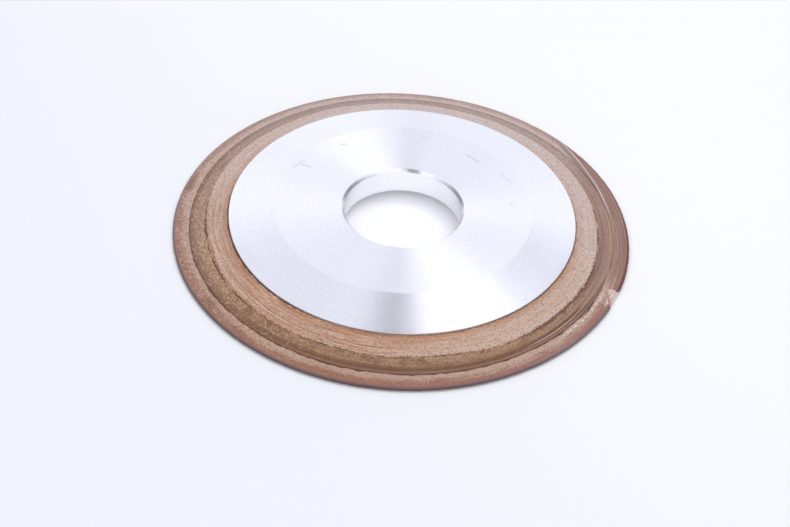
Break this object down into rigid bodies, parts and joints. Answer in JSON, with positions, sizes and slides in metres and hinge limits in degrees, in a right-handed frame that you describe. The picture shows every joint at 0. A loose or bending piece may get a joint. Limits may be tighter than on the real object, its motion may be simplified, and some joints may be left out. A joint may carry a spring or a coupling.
{
  "type": "diamond grinding wheel",
  "caption": "Dish-shaped resin-bond diamond grinding wheel: a turned aluminium core with a spindle bore, a resin backing ring and a thin abrasive rim.",
  "frame": {"origin": "the middle of the bore, on the plane of the rim's working face, which the wheel lies on", "axes": "+Z along the spindle axis, from the working side to the hub's raised face; X and Y are alike"},
  "size_m": [0.125, 0.125, 0.01],
  "materials": {
    "turned_aluminium": "satin",
    "backing_resin": "matte",
    "diamond_resin": "matte"
  },
  "bodies": {
    "root": {"aluminium_core": "turned_aluminium", "resin_backing_ring": "backing_resin", "diamond_rim": "diamond_resin"}
  },
  "joints": []
}
